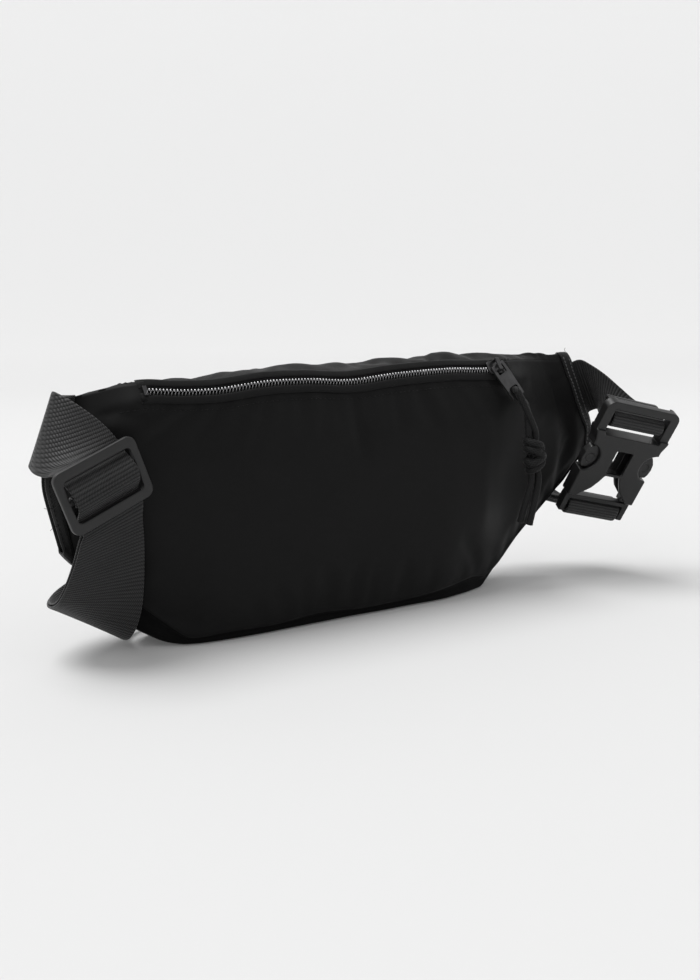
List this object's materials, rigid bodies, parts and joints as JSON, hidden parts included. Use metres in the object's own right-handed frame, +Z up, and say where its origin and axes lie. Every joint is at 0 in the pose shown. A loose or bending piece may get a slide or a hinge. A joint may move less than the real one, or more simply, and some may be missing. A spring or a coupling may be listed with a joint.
{
  "type": "waist pack",
  "caption": "Flat zipped waist pack with tapered wings, webbing belt, strap adjuster, side-release buckle and corded zip puller, standing on its gusset.",
  "frame": {"origin": "middle of the object's footprint on the surface it stands on, without the free pull cord", "axes": "+X along the pack towards the buckle, -Y out of the zipped face, +Z up"},
  "size_m": [0.406, 0.1124, 0.1495],
  "materials": {
    "shell_fabric": "smooth matt woven nylon, black",
    "lining_fabric": "plain woven lining, black",
    "foam": "closed-cell foam padding, dark grey",
    "zip_tape": "knitted zip tape, black",
    "zip_teeth": "dark nickel zip teeth",
    "zip_metal": "black-nickel plated zip hardware, satin",
    "binding_tape": "narrow woven binding, black",
    "webbing": "ribbed 38 mm nylon webbing, black, slight sheen",
    "buckle_plastic": "moulded acetal, satin gloss, black",
    "adjuster_plastic": "moulded acetal, satin, black",
    "cord": "braided nylon cord, black"
  },
  "bodies": {
    "bag": {"front_panel": "shell_fabric", "top_panel": "shell_fabric", "back_panel": "shell_fabric", "bottom_gusset": "shell_fabric", "back_padding": "foam", "lining": "lining_fabric", "zip_tape_lower": "zip_tape", "zip_tape_upper": "zip_tape", "zip_teeth_upper": "zip_teeth", "zip_teeth_lower": "zip_teeth", "zip_top_stop_upper": "zip_metal", "zip_top_stop_lower": "zip_metal", "zip_bottom_stop": "zip_metal", "wing_binding_left": "binding_tape", "wing_binding_right": "binding_tape", "strap_long": "webbing", "strap_return": "webbing", "strap_short": "webbing", "buckle_female": "buckle_plastic"},
    "buckle_male": {"buckle_male": "buckle_plastic"},
    "latch_left": {"latch_arm_left": "buckle_plastic"},
    "latch_right": {"latch_arm_right": "buckle_plastic"},
    "tri_glide": {"tri_glide": "adjuster_plastic"},
    "zip_slider": {"zip_slider_body": "zip_metal", "zip_slider_bridge": "zip_metal"},
    "zip_puller": {"puller_tab": "zip_metal"},
    "pull_cord": {"pull_cord": "cord", "pull_cord_knot": "cord", "pull_cord_tail_a": "cord", "pull_cord_tail_b": "cord"}
  },
  "joints": [
    {"name": "zip_slide", "type": "slide", "parent": "bag", "child": "zip_slider", "axis": [-1, 0, 0], "range_m": [0, 0.225], "deforming": ["zip_teeth_upper", "zip_teeth_lower"]},
    {"name": "puller_swing", "type": "hinge", "parent": "zip_slider", "child": "zip_puller", "pos_m": [0.08939, -0.00754, 0.14359], "axis": [-0.9069, -0.1771, -0.3824], "range_deg": [0, 75], "deforming": ["pull_cord"]},
    {"name": "cord_swing", "type": "hinge", "parent": "zip_puller", "child": "pull_cord", "pos_m": [0.09736, -0.01475, 0.12804], "axis": [-0.9069, -0.1771, -0.3824], "range_deg": [-75, 0], "deforming": ["pull_cord"]},
    {"name": "adjuster_slide", "type": "slide", "parent": "bag", "child": "tri_glide", "axis": [0.3429, 0.035, -0.9387], "range_m": [-0.012, 0.012], "deforming": ["strap_long", "strap_return"]},
    {"name": "buckle_release", "type": "slide", "parent": "bag", "child": "buckle_male", "axis": [-0.0935, 0.4873, -0.8682], "range_m": [0, 0.042], "deforming": ["strap_long", "strap_return", "latch_arm_left", "latch_arm_right"]},
    {"name": "latch_left_press", "type": "hinge", "parent": "buckle_male", "child": "latch_left", "pos_m": [0.15425, -0.00972, 0.05798], "axis": [0.3144, 0.8419, 0.4387], "range_deg": [0, 8], "stiffness_Nm_per_rad": 0.5},
    {"name": "latch_right_press", "type": "hinge", "parent": "buckle_male", "child": "latch_right", "pos_m": [0.18637, -0.0176, 0.0501], "axis": [-0.3144, -0.8419, -0.4387], "range_deg": [0, 8], "stiffness_Nm_per_rad": 0.5}
  ],
  "couplings": [
    {"joint": "cord_swing", "follows": "puller_swing", "ratio": -1}
  ]
}
